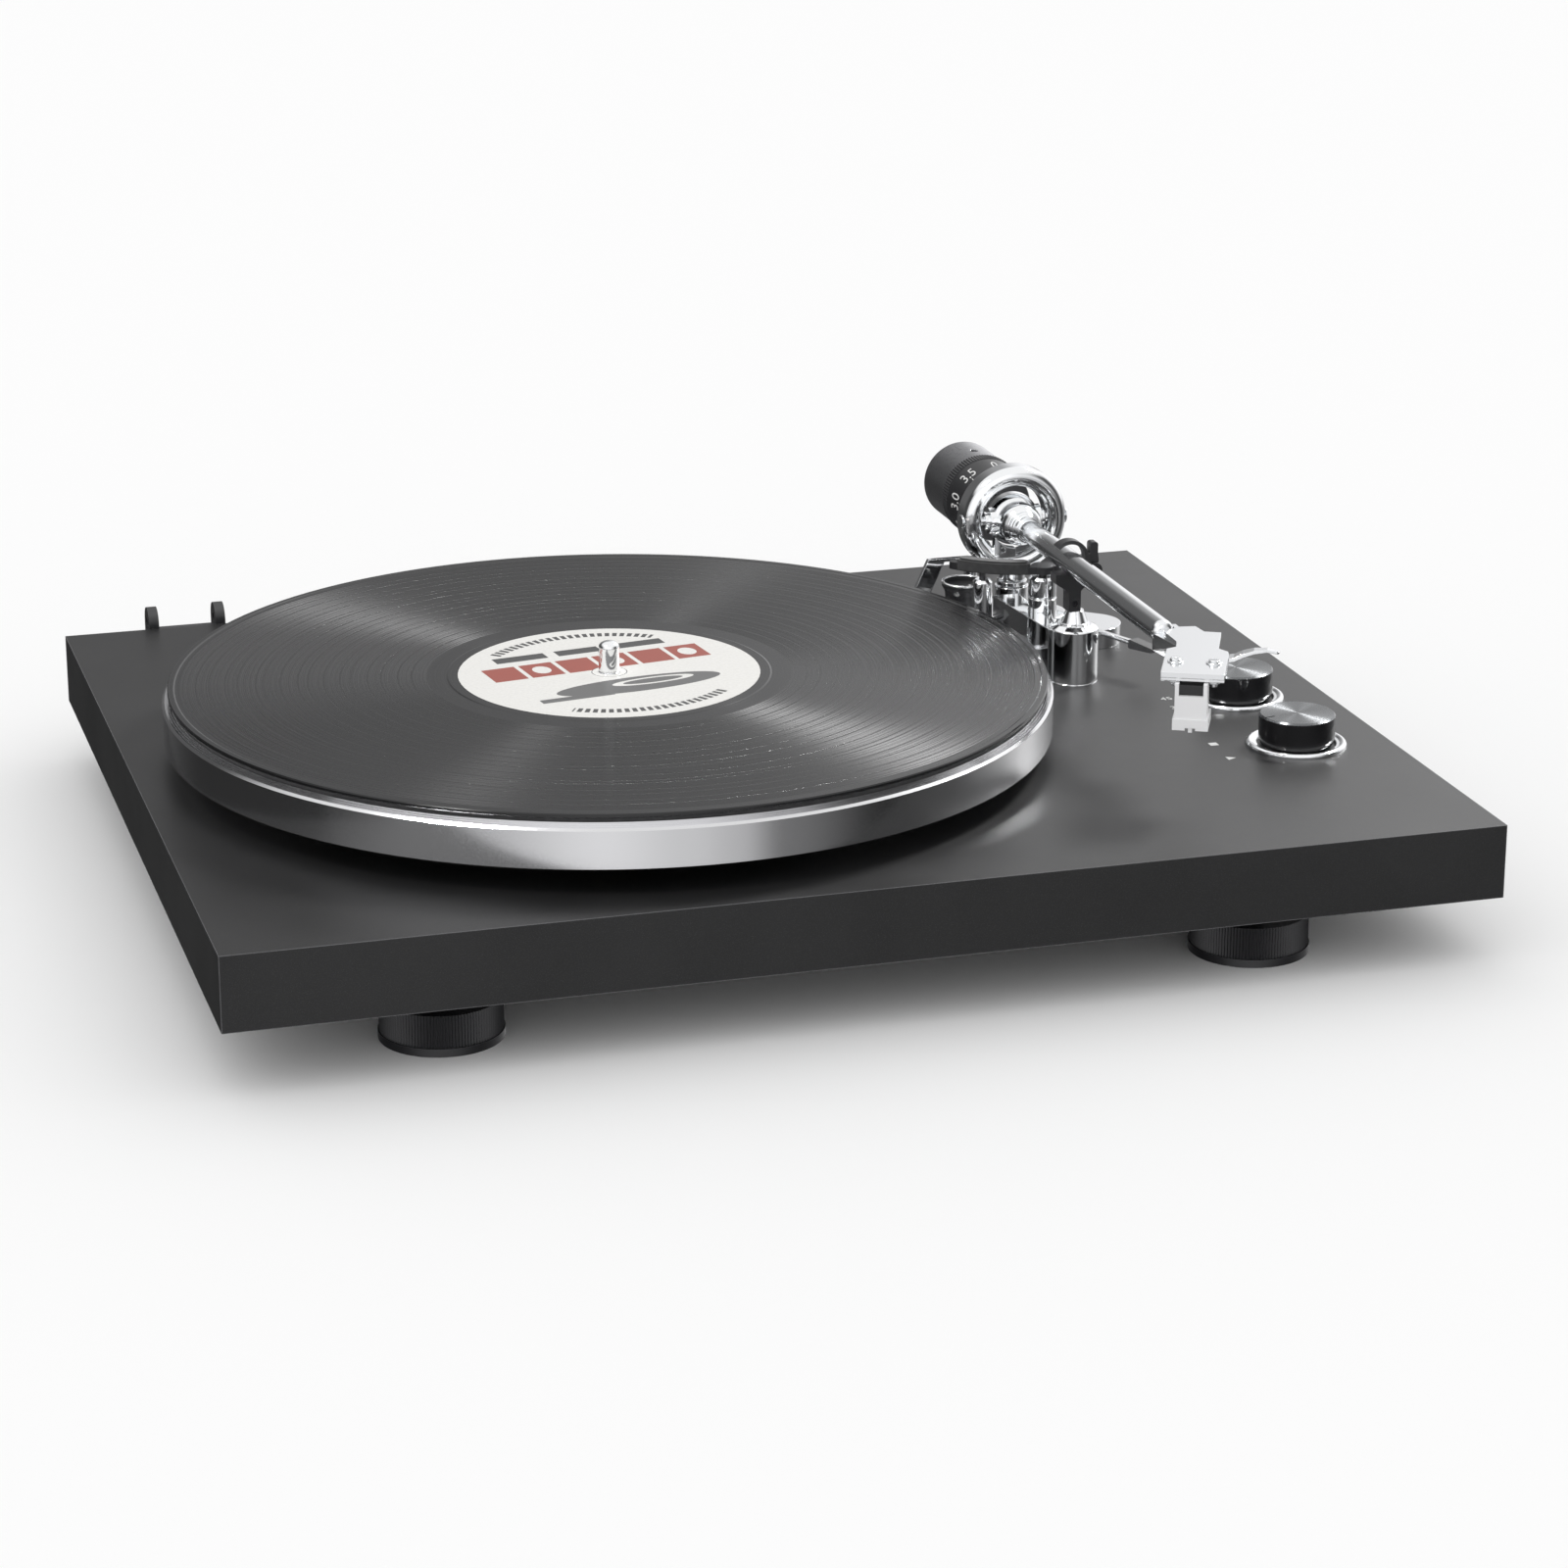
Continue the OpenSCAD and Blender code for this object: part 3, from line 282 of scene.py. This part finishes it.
def vinyl(point):
    """Pressed grooves: fine rings, thin dark gaps between tracks, smooth run-in and run-out."""
    s = Shader("vinyl", (0.01, 0.01, 0.0105), 0.3, Specular_IOR_Level=0.5)
    s.spun(0.95)
    radius = s.radius(point)
    groove = s.math("SINE", s.math("MULTIPLY", radius, math.tau / (GROOVE_PITCH * MM)))
    tracks = s.node("ShaderNodeTexNoise", noise_dimensions="1D")
    s.links.new(radius, tracks.inputs["W"])
    tracks.inputs["Scale"].default_value = 1900
    tracks.inputs["Detail"].default_value = 3
    loudness = s.ramp(tracks.outputs[0], (0.35, 0.0), (0.65, 1.0))
    gap = 0.0
    for place in TRACK_GAPS:
        near = s.math("COMPARE", radius, place * MM, TRACK_GAP_HALF * MM)
        gap = s.math("MAXIMUM", near, gap)
    inner = s.range(radius, RUN_OUT[0] * MM, RUN_OUT[1] * MM, 1.0, 0.0)
    outer = s.range(radius, RUN_IN[0] * MM, RUN_IN[1] * MM, 0.0, 1.0)
    smooth = s.math("MAXIMUM", s.math("MAXIMUM", inner, outer), gap)
    s.colour(s.mix(loudness, (0.008, 0.008, 0.0085, 1), (0.018, 0.018, 0.019, 1)))
    rough = s.math("MULTIPLY_ADD", loudness, 0.1, 0.22)
    s.rough(s.math("SUBTRACT", rough, s.math("MULTIPLY", smooth, 0.14)))
    s.bump(s.math("MULTIPLY", groove, s.math("SUBTRACT", 1.0, smooth)), 0.00001, 0.4)
    s.bump(s.math("SUBTRACT", 1.0, gap), 0.00004, 0.6)
    return s.material


def printed_label(point):
    """Off-white paper with red blocks, bars, ovals and dashes round the edge, sized in mm: no wording."""
    print_turn = math.radians(8)
    dash_ring = (42.5, 46.5)
    dash_pitch = 3.4
    s = Shader("label_paper", (0.8, 0.79, 0.76), 0.5)
    across, along, _ = s.split(s.from_point(point, print_turn))
    radius = s.radius(point)
    angle = s.math("ARCTAN2", along, across)

    def between(value, low, high):
        middle, half = (low + high) / 2, (high - low) / 2
        return s.math("COMPARE", value, middle, half)

    def block(x0, x1, y0, y1):
        return s.math("MULTIPLY", between(across, x0 * MM, x1 * MM), between(along, y0 * MM, y1 * MM))

    def arc_dashes(from_deg, to_deg):
        ring = between(radius, dash_ring[0] * MM, dash_ring[1] * MM)
        sector = between(angle, math.radians(from_deg), math.radians(to_deg))
        arc = s.math("MULTIPLY", ring, sector)
        wave = s.math("SINE", s.math("MULTIPLY", angle, 360 / dash_pitch))
        return s.math("MULTIPLY", arc, s.math("GREATER_THAN", wave, -0.35))

    def oval(x, y, rx, ry):
        dx = s.math("DIVIDE", s.math("SUBTRACT", across, x * MM), rx * MM)
        dy = s.math("DIVIDE", s.math("SUBTRACT", along, y * MM), ry * MM)
        total = s.math("ADD", s.math("MULTIPLY", dx, dx), s.math("MULTIPLY", dy, dy))
        return s.math("LESS_THAN", total, 1.0)

    fibres = s.range(s.noise(900, 4), 0.3, 0.7, 0, 1)
    paper = s.mix(fibres, (0.76, 0.75, 0.72, 1), (0.84, 0.83, 0.8, 1))
    ink = paper
    red, black, grey = (0.34, 0.045, 0.02, 1), (0.03, 0.03, 0.03, 1), (0.11, 0.11, 0.11, 1)
    block_wide, block_pitch, band_left = 12, 13.6, -40
    for i in range(6):
        left = band_left + block_pitch * i
        ink = s.mix(block(left, left + block_wide, 4, 19), ink, red)
        if i % 2:
            ink = s.mix(oval(left + block_wide / 2, 11.5, 3.2, 4.2), ink, paper)
    for x0, x1 in ((-32, -13), (-9, 7), (11, 31)):
        ink = s.mix(block(x0, x1, 24, 30), ink, black)
    ink = s.mix(oval(4, -17, 30, 8), ink, grey)
    ink = s.mix(oval(10, -15, 15, 3.6), ink, paper)
    ink = s.mix(oval(10, -15, 11, 2.4), ink, grey)
    ink = s.mix(block(-34, -8, -25, -21), ink, grey)
    ink = s.mix(arc_dashes(48, 132), ink, black)
    ink = s.mix(arc_dashes(-128, -52), ink, black)
    ink = s.mix(oval(0, 0, 6.2, 6.2), ink, paper)
    ink = s.mix(between(radius, 5.9 * MM, 6.2 * MM), ink, grey)
    s.colour(ink)
    s.bump(s.noise(1800, 4), 0.00003, 0.4)
    return s.material


def board_green():
    s = Shader("board", (0.01, 0.14, 0.05), 0.35)
    tracks = s.range(s.noise(260, 1, stretch=(1, 0.25, 1)), 0.52, 0.56, 0, 1)
    s.colour(s.mix(tracks, (0.01, 0.12, 0.045, 1), (0.03, 0.24, 0.09, 1)))
    s.bump(tracks, 0.00005, 0.5)
    return s.material


PLATTER_AXIS = (centre("platter").x, centre("platter").y, 0)
START_AXIS = (centre("start_knob").x, centre("start_knob").y, 0)
SPEED_AXIS = (centre("speed_knob").x, centre("speed_knob").y, 0)

MATERIALS = {
    "plinth_lacquer": plinth_lacquer(),
    "cover_plate": plastic("cover_plate", (0.03, 0.03, 0.032), 0.5, 1200, 0.00005),
    "steel": brushed("steel", (0.6, 0.61, 0.62), 0.28, (1, 1, 6)),
    "black_steel": brushed("black_steel", (0.06, 0.06, 0.065), 0.35, (1, 1, 4)),
    "black_plastic": plastic("black_plastic", (0.018, 0.018, 0.02), 0.36, wear_and_highlight=0.35),
    "brass": turned("brass", (0.68, 0.5, 0.2), 0.22, PLATTER_AXIS, 0.5 * MM, 0.5),
    "motor_can": brushed("motor_can", (0.48, 0.49, 0.5), 0.34, (1, 1, 9)),
    "board": board_green(),
    "chrome": chrome(),
    "gold_plate": turned("gold_plate", (0.8, 0.58, 0.22), 0.18, (0, 0, 0), 1 * MM, 0.2),
    "platter_alloy": turned("platter_alloy", (0.7, 0.7, 0.71), 0.15, PLATTER_AXIS, 0.35 * MM, 0.5),
    "drive_ring": plastic("drive_ring", (0.05, 0.05, 0.055), 0.45),
    "mat_rubber": rubber("mat_rubber", (0.016, 0.016, 0.017)),
    "vinyl": vinyl(PLATTER_AXIS),
    "label_paper": printed_label(PLATTER_AXIS),
    "belt_rubber": rubber("belt_rubber", (0.012, 0.012, 0.012)),
    "foot_rubber": plastic("foot_rubber", (0.016, 0.016, 0.018), 0.4, 1800, 0.00004),
    "knob_black": plastic("knob_black", (0.008, 0.008, 0.009), 0.16, 1200, 0.00001, 0.3),
    "spun_start": turned("spun_start", (0.16, 0.165, 0.17), 0.28, START_AXIS, 0.28 * MM, 0.85),
    "spun_speed": turned("spun_speed", (0.16, 0.165, 0.17), 0.28, SPEED_AXIS, 0.28 * MM, 0.85),
    "arm_alloy": brushed("arm_alloy", (0.86, 0.87, 0.88), 0.1, (5, 0.4, 5), 0.0),
    "cartridge_black": plastic("cartridge_black", (0.012, 0.012, 0.013), 0.22, 1500, 0.00001),
    "stylus_white": plastic("stylus_white", (0.82, 0.82, 0.83), 0.25, 900, 0.00001, 0.0),
    "weight_black": brushed("weight_black", (0.28, 0.28, 0.29), 0.32, (1, 6, 1), 0.0),
    "dial_black": plastic("dial_black", (0.02, 0.02, 0.022), 0.42),
    "soft_grip": rubber("soft_grip", (0.02, 0.02, 0.022)),
    "print_white": plastic("print_white", (0.75, 0.75, 0.74), 0.45, 2600, 0.00001, 0.0),
    "collar_red": plastic("collar_red", (0.4, 0.01, 0.01), 0.35, 1500, 0.00001, 0.3),
}

SLOT_OF = {part["node"]: part["material_slot"] for part in frame["record"]["subparts"]}
SPECIAL = {"start_knob_cap": "spun_start", "speed_knob_cap": "spun_speed"}
for name, obj in NODES.items():
    obj.data.materials.clear()
    obj.data.materials.append(MATERIALS[SPECIAL.get(name, SLOT_OF[name])])


# ---------------------------------------------------------------- pieces


def add_piece(name, mesh, body, slot, material=None, smooth=True):
    piece = bpy.data.objects.new(name, mesh)
    bpy.context.scene.collection.objects.link(piece)
    mesh.materials.clear()
    mesh.materials.append(MATERIALS[material or slot])
    for face in mesh.polygons:
        face.use_smooth = smooth
    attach(piece, body)
    return piece


def lathe_mesh(name, profile, point, axis="Z", steps=96):
    """A closed ring: (radius, height) points in mm turned round an axis through the point."""
    mesh = bpy.data.meshes.new(name)
    shape = bmesh.new()
    rings = []
    for i in range(steps):
        turn = math.tau * i / steps
        ring = []
        for r, h in profile:
            a, b = r * MM * math.cos(turn), r * MM * math.sin(turn)
            offset = Vector((a, b, h * MM)) if axis == "Z" else Vector((-a, h * MM, b))
            ring.append(shape.verts.new(Vector(point) + offset))
        rings.append(ring)
    for i in range(steps):
        here, there = rings[i], rings[(i + 1) % steps]
        for j in range(len(profile)):
            k = (j + 1) % len(profile)
            shape.faces.new((here[j], there[j], there[k], here[k]))
    bmesh.ops.recalc_face_normals(shape, faces=shape.faces)
    shape.to_mesh(mesh)
    shape.free()
    return mesh


NUMERAL_SHARE = 0.7  # a numeral's height over its font size
PRINT_HALF = 1.0 * MM  # half the thickness of flat print before it is laid on a surface


def text_shapes(text, height):
    """The outline of a numeral as a thin closed mesh in the XY plane, centred on its own middle."""
    curve = bpy.data.curves.new("numeral", "FONT")
    curve.body = text
    curve.size = height / NUMERAL_SHARE
    curve.align_x = "CENTER"
    curve.align_y = "CENTER"
    curve.extrude = PRINT_HALF
    curve.resolution_u = 4
    holder = bpy.data.objects.new("numeral", curve)
    bpy.context.scene.collection.objects.link(holder)
    bpy.context.view_layer.update()
    graph = bpy.context.evaluated_depsgraph_get()
    made = holder.evaluated_get(graph).to_mesh()
    shape = bmesh.new()
    shape.from_mesh(made)
    bpy.data.objects.remove(holder)
    bpy.data.curves.remove(curve)
    bmesh.ops.remove_doubles(shape, verts=shape.verts, dist=1e-6)
    return shape


def bar_shape(width, height):
    shape = bmesh.new()
    bmesh.ops.create_cube(shape, size=1.0)
    for v in shape.verts:
        v.co = Vector((v.co.x * width, v.co.y * height, v.co.z * 2 * PRINT_HALF))
    return shape


def join_shapes(name, shapes):
    """Puts (bmesh, function from flat point to place) pairs in one mesh."""
    joined = bmesh.new()
    for shape, placed in shapes:
        for v in shape.verts:
            v.co = placed(v.co)
        part = bpy.data.meshes.new("part")
        shape.to_mesh(part)
        shape.free()
        joined.from_mesh(part)
        bpy.data.meshes.remove(part)
    bmesh.ops.recalc_face_normals(joined, faces=joined.faces)
    mesh = bpy.data.meshes.new(name)
    joined.to_mesh(mesh)
    joined.free()
    return mesh


PRINT_PROUD = 0.05 * MM
PRINT_DEPTH = 0.1 * MM


def lift(flat):
    """Upper faces of a flat print stand just proud of the surface, lower ones just inside it."""
    return PRINT_PROUD if flat.z > 0 else -PRINT_DEPTH


# The dial's print: numeral height, width share, distances from the dial's front, and places round it.
NUMERAL_TALL = 5.6 * MM
NUMERAL_NARROW = 0.72
NUMERAL_IN = 5.6 * MM
TICK_IN = 1.5 * MM
TICK_SIZE = (0.35 * MM, 1.3 * MM)
DIAL_STEPS = 8
DIAL_ZERO = math.radians(85)
RAY_CLEARANCE = 2 * MM

# The marks beside the knobs: heights and offsets from each knob's middle.
SPEED_TALL = 3.1 * MM
STOP_SIDE = 3 * MM
MARK_SIDE = -27.3 * MM


def dial_print():
    """White numerals and ticks pressed on to the stylus-force dial, read round its axis."""
    dial = NODES["force_dial"]
    low, high = (Vector(corner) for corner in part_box("force_dial"))
    axis = (low + high) / 2
    corners = [v.co for v in dial.data.vertices]
    tree = BVHTree.FromPolygons(corners, [f.vertices for f in dial.data.polygons])
    body_radius = (high.x - low.x) / 2
    reach = body_radius + RAY_CLEARANCE
    face_front = low.y

    def onto(turn, along, narrow=1.0):
        def placed(flat):
            angle = turn - narrow * flat.x / body_radius
            out = Vector((math.cos(angle), 0, math.sin(angle)))
            y = along + flat.y
            start = Vector((axis.x, y, axis.z)) + out * reach
            hit, _, _, distance = tree.ray_cast(start, -out)
            radius = reach - distance if hit else body_radius
            return Vector((axis.x, y, axis.z)) + out * (radius + lift(flat))
        return placed

    shapes = []
    for i in range(DIAL_STEPS):
        turn = DIAL_ZERO - i * math.tau / DIAL_STEPS
        label = "0" if i == 0 else f"{i / 2:.1f}"
        numeral = text_shapes(label, NUMERAL_TALL)
        shapes.append((numeral, onto(turn, face_front + NUMERAL_IN, NUMERAL_NARROW)))
        shapes.append((bar_shape(*TICK_SIZE), onto(turn, face_front + TICK_IN)))
    mesh = join_shapes("force_dial_print", shapes)
    add_piece("force_dial_print", mesh, "force_dial", "stylus_white", "print_white", smooth=False)


def plinth_marks():
    """A stop square and a play triangle by the start knob, and the two speeds by the other."""
    deck = top_of("plinth")

    def onto(x, y, turn=0.0):
        c, d = math.cos(turn), math.sin(turn)

        def placed(flat):
            return Vector((x + c * flat.x - d * flat.y, y + d * flat.x + c * flat.y, deck + lift(flat)))
        return placed

    start, speed = centre("start_knob"), centre("speed_knob")
    square = bar_shape(STOP_SIDE, STOP_SIDE)
    triangle = bmesh.new()
    corners = ((-1.4 * MM, -1.7 * MM), (1.8 * MM, 0), (-1.4 * MM, 1.7 * MM))
    rims = [[triangle.verts.new((x, y, z)) for x, y in corners] for z in (-PRINT_HALF, PRINT_HALF)]
    triangle.faces.new(rims[0])
    triangle.faces.new(rims[1])
    for i in range(3):
        j = (i + 1) % 3
        triangle.faces.new((rims[0][i], rims[0][j], rims[1][j], rims[1][i]))
    shapes = [
        (square, onto(start.x + MARK_SIDE, start.y + 8.3 * MM)),
        (triangle, onto(start.x + MARK_SIDE, start.y - 7.7 * MM)),
        (text_shapes("45", SPEED_TALL), onto(speed.x + MARK_SIDE + 3.4 * MM, speed.y + 5.9 * MM)),
        (text_shapes("33", SPEED_TALL), onto(speed.x + MARK_SIDE + 3.0 * MM, speed.y - 4.8 * MM)),
    ]
    mesh = join_shapes("plinth_marks", shapes)
    add_piece("plinth_marks", mesh, "base", "stylus_white", "print_white", smooth=False)


def dial_ring():
    """The bright bezel pressed into the rim of the anti-skate dial."""
    low, high = (Vector(corner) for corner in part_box("antiskate_dial"))
    axis = (low + high) / 2
    outer = 8.35
    inner = 7.25
    top = 0.35
    profile = [(inner, -0.6), (inner, top - 0.1), (inner + 0.15, top), (outer - 0.25, top),
               (outer, top - 0.25), (outer, -0.25), (outer - 0.25, -0.5), (outer - 0.3, -0.6)]
    mesh = lathe_mesh("antiskate_bezel", profile, (axis.x, axis.y, high.z))
    add_piece("antiskate_bezel", mesh, "antiskate", "chrome")


SLEEVE_LONG = 6.4 * MM  # bare metal past each rear socket's collar


def socket_rings():
    """Red and white insulating collars on the two rear sockets."""
    low, high = (Vector(corner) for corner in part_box("audio_jacks"))
    radius = (high.z - low.z) / 2
    sleeve_end = high.y - SLEEVE_LONG
    profile = [(4.25, 0), (5.0, 0), (5.2, 0.2), (5.2, 1.0), (5.0, 1.2), (4.25, 1.2)]
    for name, x, slot, look in (("socket_ring_left", low.x + radius, "black_plastic", "collar_red"),
                                ("socket_ring_right", high.x - radius, "stylus_white", "print_white")):
        mesh = lathe_mesh(name, profile, (x, sleeve_end, (low.z + high.z) / 2), axis="Y", steps=48)
        add_piece(name, mesh, "base", slot, look)


dial_print()
plinth_marks()
dial_ring()
socket_rings()


# ---------------------------------------------------------------- stage


# The camera: focal length in mm, place in metres and viewing direction.
CAMERA_LENS = 98.72
CAMERA_AT = (-0.3910, -1.3877, 0.5090)
CAMERA_TOWARDS = (0.26836, 0.90884, -0.31936)

# Brightness of the studio as polished surfaces see it, by angle round +Z from +X in degrees:
# at eye level, and below the horizon in place of the floor.
HORIZON = ((-180, 0.5), (-150, 1.1), (-118, 1.3), (-85, 1.25), (-62, 0.8), (-38, 0.1),
           (-20, 0.08), (10, 1.0), (40, 1.25), (62, 1.1), (80, 0.36), (105, 0.12), (150, 0.06))
FLOOR_SHEEN = ((-180, 0.06), (-163, 0.1), (-140, 0.6), (-106, 0.95), (-84, 0.75), (-72, 0.6), (-60, 0.2),
               (-30, 0.03), (10, 0.3), (60, 0.7), (85, 0.1), (130, 0.03))
# Brightness overhead, and of the even light that falls on matt surfaces.
CEILING = 1.0
DIFFUSE_SKY = 1.04
# Heights, as the sine of the elevation, over which the studio blends from floor to wall to ceiling.
FLOOR_BLEND = (-0.16, 0.04)
CEILING_BLEND = (0.45, 0.7)
FLOOR_RADIUS = 14
LIGHT_DISTANCE = 2.5
AIM_HEIGHT = 0.07


def studio():
    scene = bpy.context.scene
    scene.view_settings.view_transform = "Standard"
    camera_data = bpy.data.cameras.new("camera")
    camera_data.lens = CAMERA_LENS
    camera_data.sensor_width = 36
    camera_data.clip_end = 50
    camera = bpy.data.objects.new("camera", camera_data)
    scene.collection.objects.link(camera)
    camera.location = CAMERA_AT
    camera.rotation_mode = "QUATERNION"
    camera.rotation_quaternion = Vector(CAMERA_TOWARDS).to_track_quat("-Z", "Y")
    scene.camera = camera

    floor_mesh = bpy.data.meshes.new("floor")
    shape = bmesh.new()
    bmesh.ops.create_circle(shape, cap_ends=True, segments=64, radius=FLOOR_RADIUS)
    shape.to_mesh(floor_mesh)
    shape.free()
    floor = bpy.data.objects.new("floor", floor_mesh)
    scene.collection.objects.link(floor)
    white = Shader("floor_white", (0.94, 0.94, 0.94), 0.9, Specular_IOR_Level=0.0)
    white.bump(white.noise(300, 3), 0.0001, 0.2)
    floor_mesh.materials.append(white.material)
    floor.visible_glossy = False

    world = bpy.data.worlds.new("studio")
    scene.world = world
    world.use_nodes = True
    nodes, links = world.node_tree.nodes, world.node_tree.links

    def node(kind, **settings):
        made = nodes.new(kind)
        for key, value in settings.items():
            setattr(made, key, value)
        return made

    def by_angle(value, stops):
        """Brightness through (degrees, brightness) stops, eased between them."""
        scaled = node("ShaderNodeMapRange")
        links.new(value, scaled.inputs[0])
        scaled.inputs[1].default_value = -math.pi
        scaled.inputs[2].default_value = math.pi
        ramp = node("ShaderNodeValToRGB")
        ramp.color_ramp.interpolation = "EASE"
        elements = ramp.color_ramp.elements
        while len(elements) < len(stops):
            elements.new(0.5)
        for element, (degrees, bright) in zip(elements, stops):
            element.position = (degrees + 180) / 360
            element.color = (bright, bright, bright * 1.01, 1)
        links.new(scaled.outputs[0], ramp.inputs[0])
        return ramp.outputs[0]

    def by_height(value, span):
        made = node("ShaderNodeMapRange", interpolation_type="SMOOTHSTEP")
        links.new(value, made.inputs[0])
        made.inputs[1].default_value, made.inputs[2].default_value = span
        return made.outputs[0]

    def blend(factor, a, b):
        made = node("ShaderNodeMix", data_type="RGBA")
        links.new(factor, made.inputs[0])
        for socket, source in ((6, a), (7, b)):
            if isinstance(source, float):
                made.inputs[socket].default_value = (source, source, source, 1)
            else:
                links.new(source, made.inputs[socket])
        return made.outputs[2]

    direction = node("ShaderNodeTexCoord").outputs["Generated"]
    parts = node("ShaderNodeSeparateXYZ")
    links.new(direction, parts.inputs[0])
    azimuth = node("ShaderNodeMath", operation="ARCTAN2")
    links.new(parts.outputs[1], azimuth.inputs[0])
    links.new(parts.outputs[0], azimuth.inputs[1])
    above = by_height(parts.outputs[2], FLOOR_BLEND)
    overhead = by_height(parts.outputs[2], CEILING_BLEND)
    around = by_angle(azimuth.outputs[0], HORIZON)
    below = by_angle(azimuth.outputs[0], FLOOR_SHEEN)
    pattern = blend(overhead, blend(above, below, around), CEILING)
    rays = node("ShaderNodeLightPath")
    light = blend(rays.outputs["Is Glossy Ray"], DIFFUSE_SKY, pattern)
    light = blend(rays.outputs["Is Camera Ray"], light, 1.0)
    links.new(light, nodes["Background"].inputs["Color"])

    def softbox(name, around_deg, up_deg, size, power):
        """A square light in this direction from the platter, aimed at it, seen in gloss only."""
        turn, rise = math.radians(around_deg), math.radians(up_deg)
        level = math.cos(rise)
        away = Vector((level * math.cos(turn), level * math.sin(turn), math.sin(rise)))
        light = bpy.data.lights.new(name, "AREA")
        light.size = size
        light.energy = power
        holder = bpy.data.objects.new(name, light)
        scene.collection.objects.link(holder)
        target = Vector((centre("platter").x, centre("platter").y, AIM_HEIGHT))
        holder.location = target + LIGHT_DISTANCE * away
        holder.rotation_mode = "QUATERNION"
        holder.rotation_quaternion = away.to_track_quat("Z", "Y")
        holder.visible_diffuse = False

    softbox("right", 25, 42, 0.5, 160)
    softbox("left", -165, 60, 0.5, 110)


studio()
